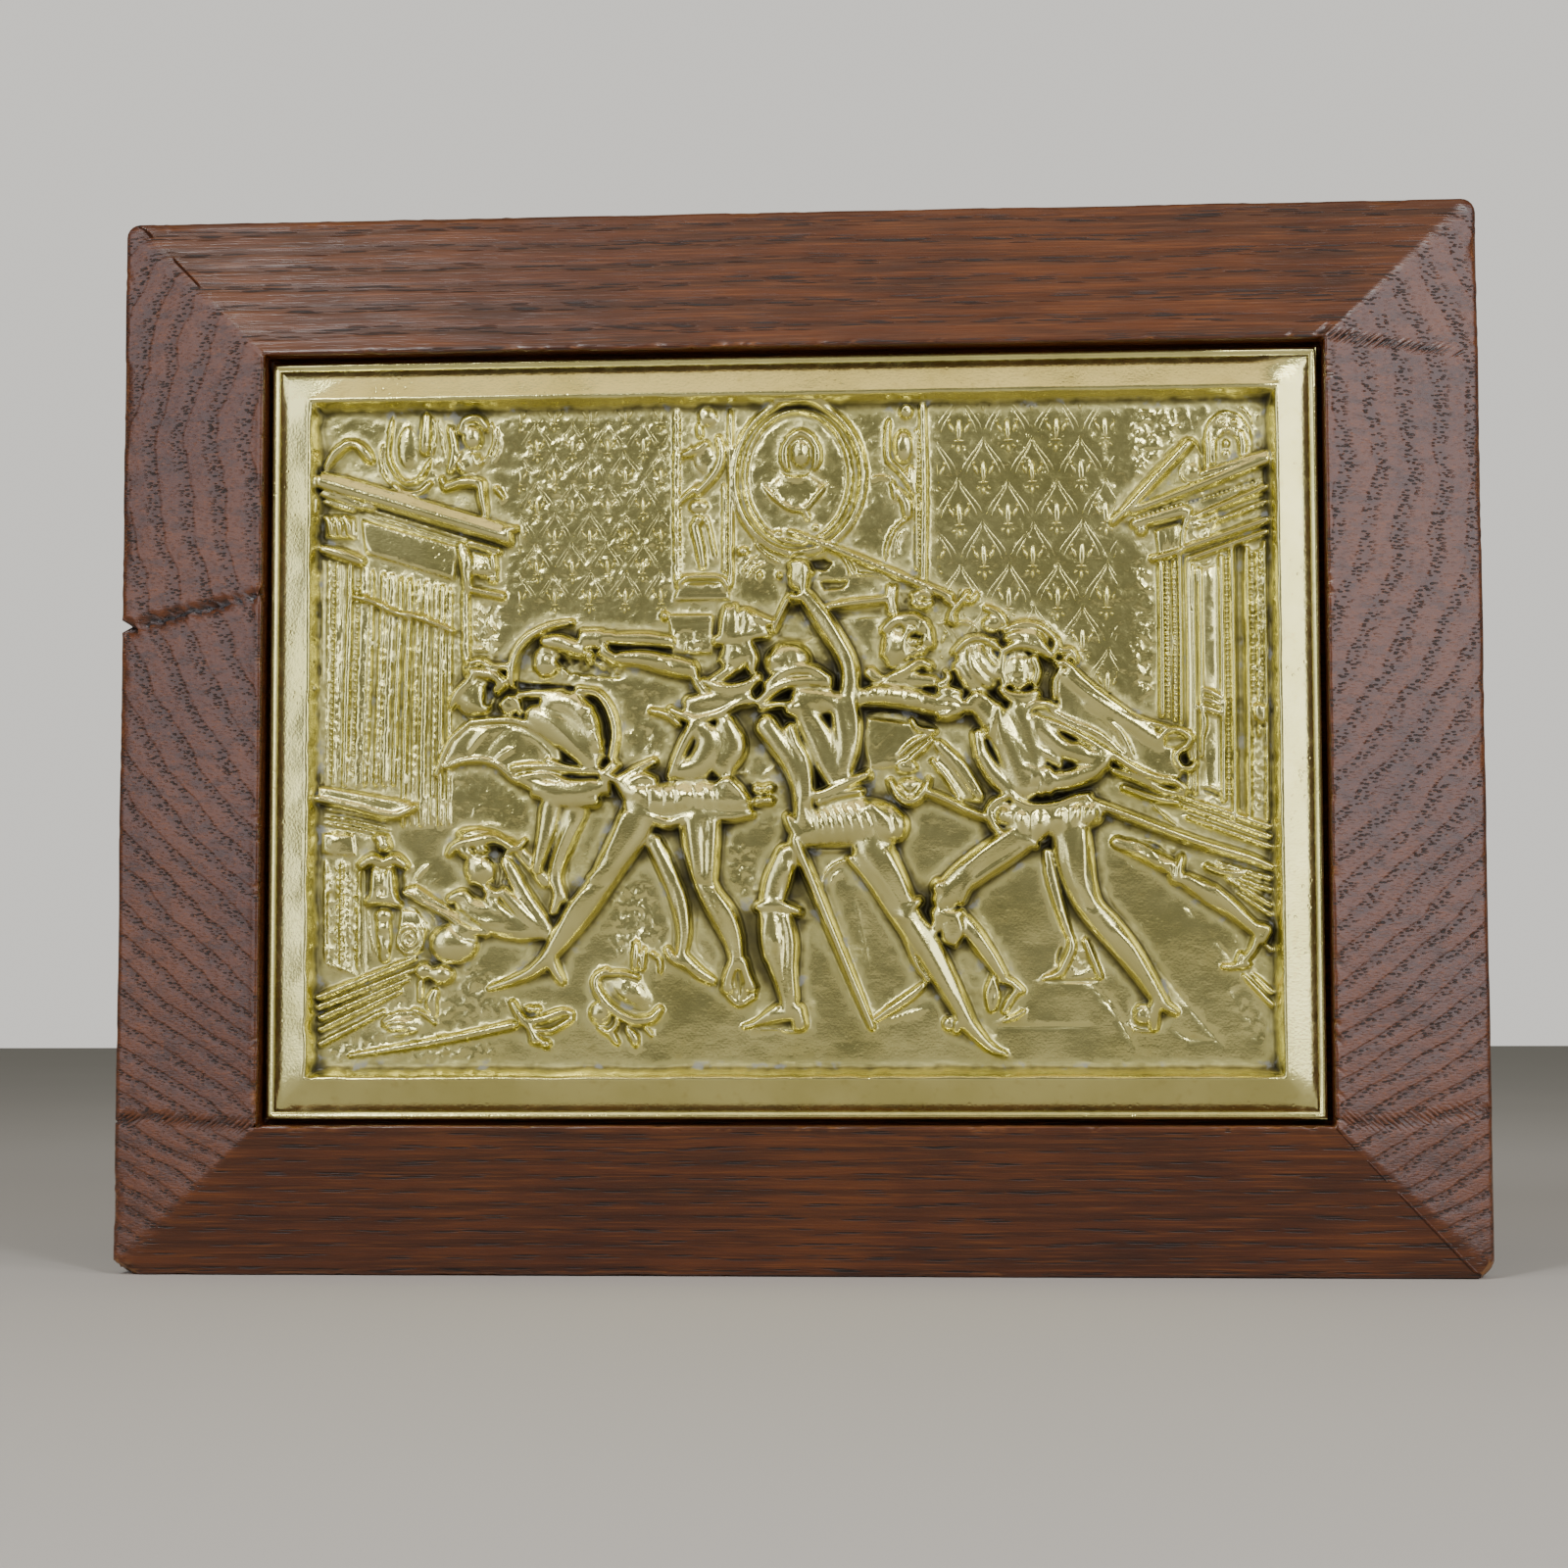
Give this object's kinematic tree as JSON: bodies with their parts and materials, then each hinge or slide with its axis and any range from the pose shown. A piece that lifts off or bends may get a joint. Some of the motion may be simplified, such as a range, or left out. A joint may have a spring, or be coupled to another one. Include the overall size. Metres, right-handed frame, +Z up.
{
  "type": "relief plaque",
  "caption": "Cast brass relief plaque of brawling swordsmen in a hall, set in the well of a bevelled solid oak block; hangs on a wall.",
  "frame": {"origin": "centre of the oak block's flat back", "axes": "+Z up, +X right as seen from the front, +Y into the wall"},
  "size_m": [0.284, 0.024, 0.222],
  "materials": {
    "oak": "dark stained and varnished oak",
    "brass": "polished cast brass with patina in the recesses"
  },
  "bodies": {
    "root": {"oak_block": "oak", "brass_relief": "brass"}
  },
  "joints": []
}
